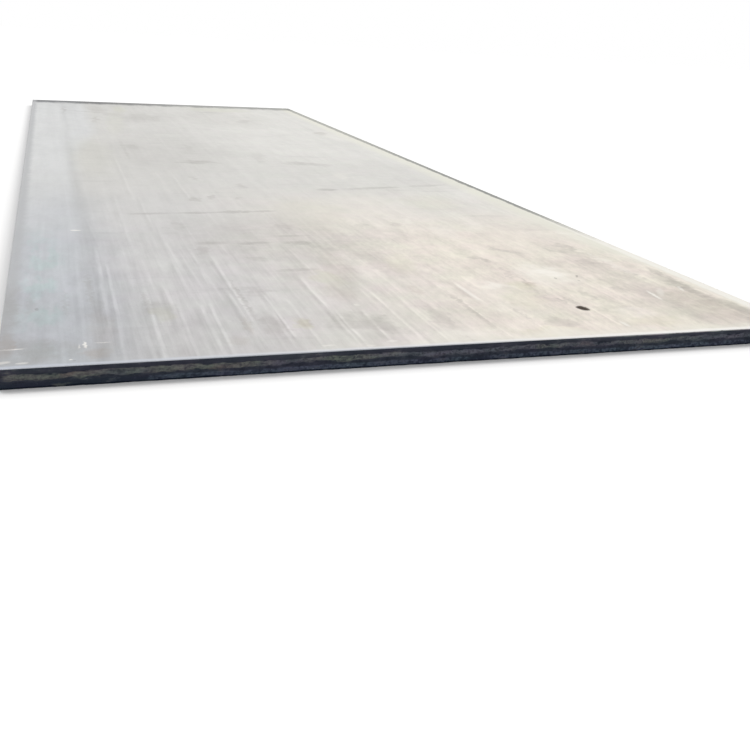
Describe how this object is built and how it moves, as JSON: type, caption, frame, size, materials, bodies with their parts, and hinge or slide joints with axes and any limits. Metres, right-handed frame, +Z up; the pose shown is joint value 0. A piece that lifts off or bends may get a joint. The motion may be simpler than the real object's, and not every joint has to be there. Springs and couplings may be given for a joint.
{
  "type": "steel plate",
  "caption": "Flat rectangular hot-rolled steel plate lying on its underside, with all four edges sheared square.",
  "frame": {"origin": "middle of the underside, which is the face the plate rests on", "axes": "+Z up through the thickness, +Y along the length (the rolling direction), +X across the width"},
  "size_m": [2, 6, 0.045],
  "materials": {
    "rolled_steel": "hot-rolled, pale grey mill scale with fine lengthwise handling scratches; edges sheared, dark and lightly rusted"
  },
  "bodies": {
    "root": {"steel_plate": "rolled_steel"}
  },
  "joints": []
}
